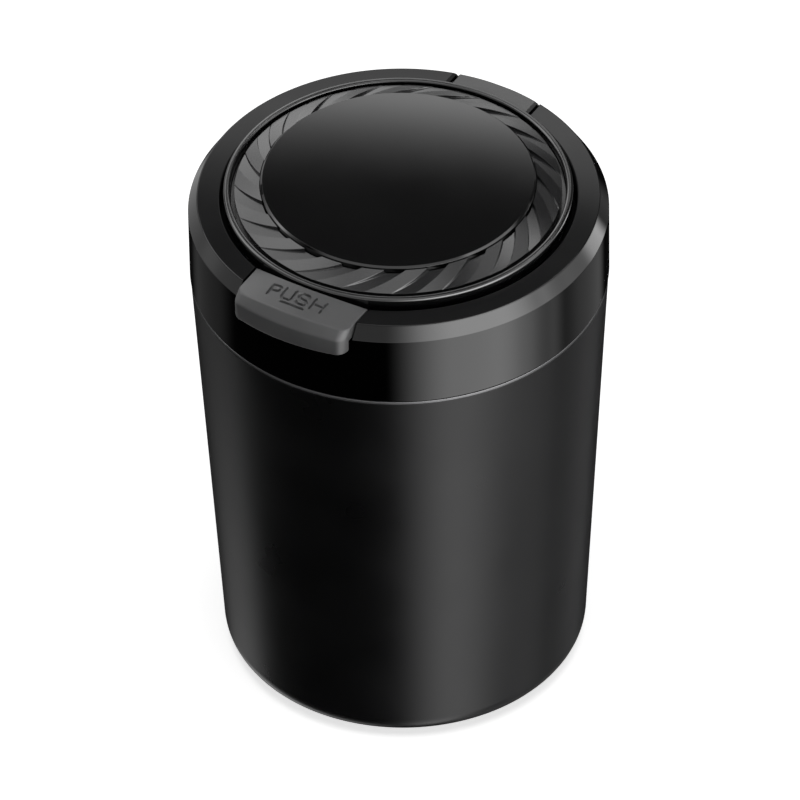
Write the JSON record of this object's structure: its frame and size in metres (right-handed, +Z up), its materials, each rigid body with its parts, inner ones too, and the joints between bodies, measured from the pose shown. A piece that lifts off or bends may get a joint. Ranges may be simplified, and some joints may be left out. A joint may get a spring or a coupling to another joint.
{
  "type": "car ashtray",
  "caption": "Tapered cup-holder ashtray with a lift-out steel liner, a twist-off head, a sprung flip lid with a ridged ring and disc, and a push-button latch.",
  "frame": {"origin": "centre of the base pad's underside, on the cup's axis, at the surface it stands on", "axes": "+Z up along the cup's axis, -Y towards the push button, +Y towards the lid's hinge"},
  "size_m": [0.078, 0.0805, 0.1085],
  "materials": {
    "cup_black": "satin moulded black",
    "pad_rubber": "matt rubber",
    "seam_metal": "dark bright ring",
    "liner_steel": "spun stainless steel",
    "seal_rubber": "soft silicone",
    "collar_black": "semi-gloss black",
    "inner_black": "matt heat-proof moulding",
    "screw_steel": "plated screw",
    "mouth_steel": "pressed stainless steel",
    "pin_steel": "ground steel pin",
    "spring_steel": "spring wire",
    "lid_black": "semi-gloss black",
    "ridge_black": "semi-gloss black with twisted ridges",
    "disc_black": "gloss black",
    "button_grey": "matt dark grey"
  },
  "bodies": {
    "cup": {"outer_cup": "cup_black", "base_pad": "pad_rubber", "seam_ring": "seam_metal", "ash_liner": "liner_steel", "neck_gasket": "seal_rubber"},
    "head": {"collar": "collar_black", "neck_frame": "inner_black", "frame_screws": "screw_steel", "mouth_ring": "mouth_steel", "hinge_pin": "pin_steel", "hinge_spring": "spring_steel", "latch_pin": "pin_steel", "latch_spring": "spring_steel"},
    "lid": {"lid_shell": "lid_black", "ridged_ring": "ridge_black", "centre_disc": "disc_black", "lid_cap": "inner_black", "lid_seal": "seal_rubber", "lid_screws": "screw_steel"},
    "button": {"latch_button": "button_grey"}
  },
  "joints": [
    {"name": "head_twist", "type": "hinge", "parent": "cup", "child": "head", "pos_m": [0, 0, 0.0876], "axis": [0, 0, 1], "range_deg": [0, 30]},
    {"name": "lid_hinge", "type": "hinge", "parent": "head", "child": "lid", "pos_m": [0, 0.035, 0.1006], "axis": [-1, 0, 0], "range_deg": [0, 100], "deforming": ["hinge_spring"]},
    {"name": "button_press", "type": "hinge", "parent": "head", "child": "button", "pos_m": [0, -0.0335, 0.0975], "axis": [1, 0, 0], "range_deg": [0, 8], "stiffness_Nm_per_rad": 0.02, "springref_deg": -8.59, "deforming": ["latch_spring"]}
  ]
}
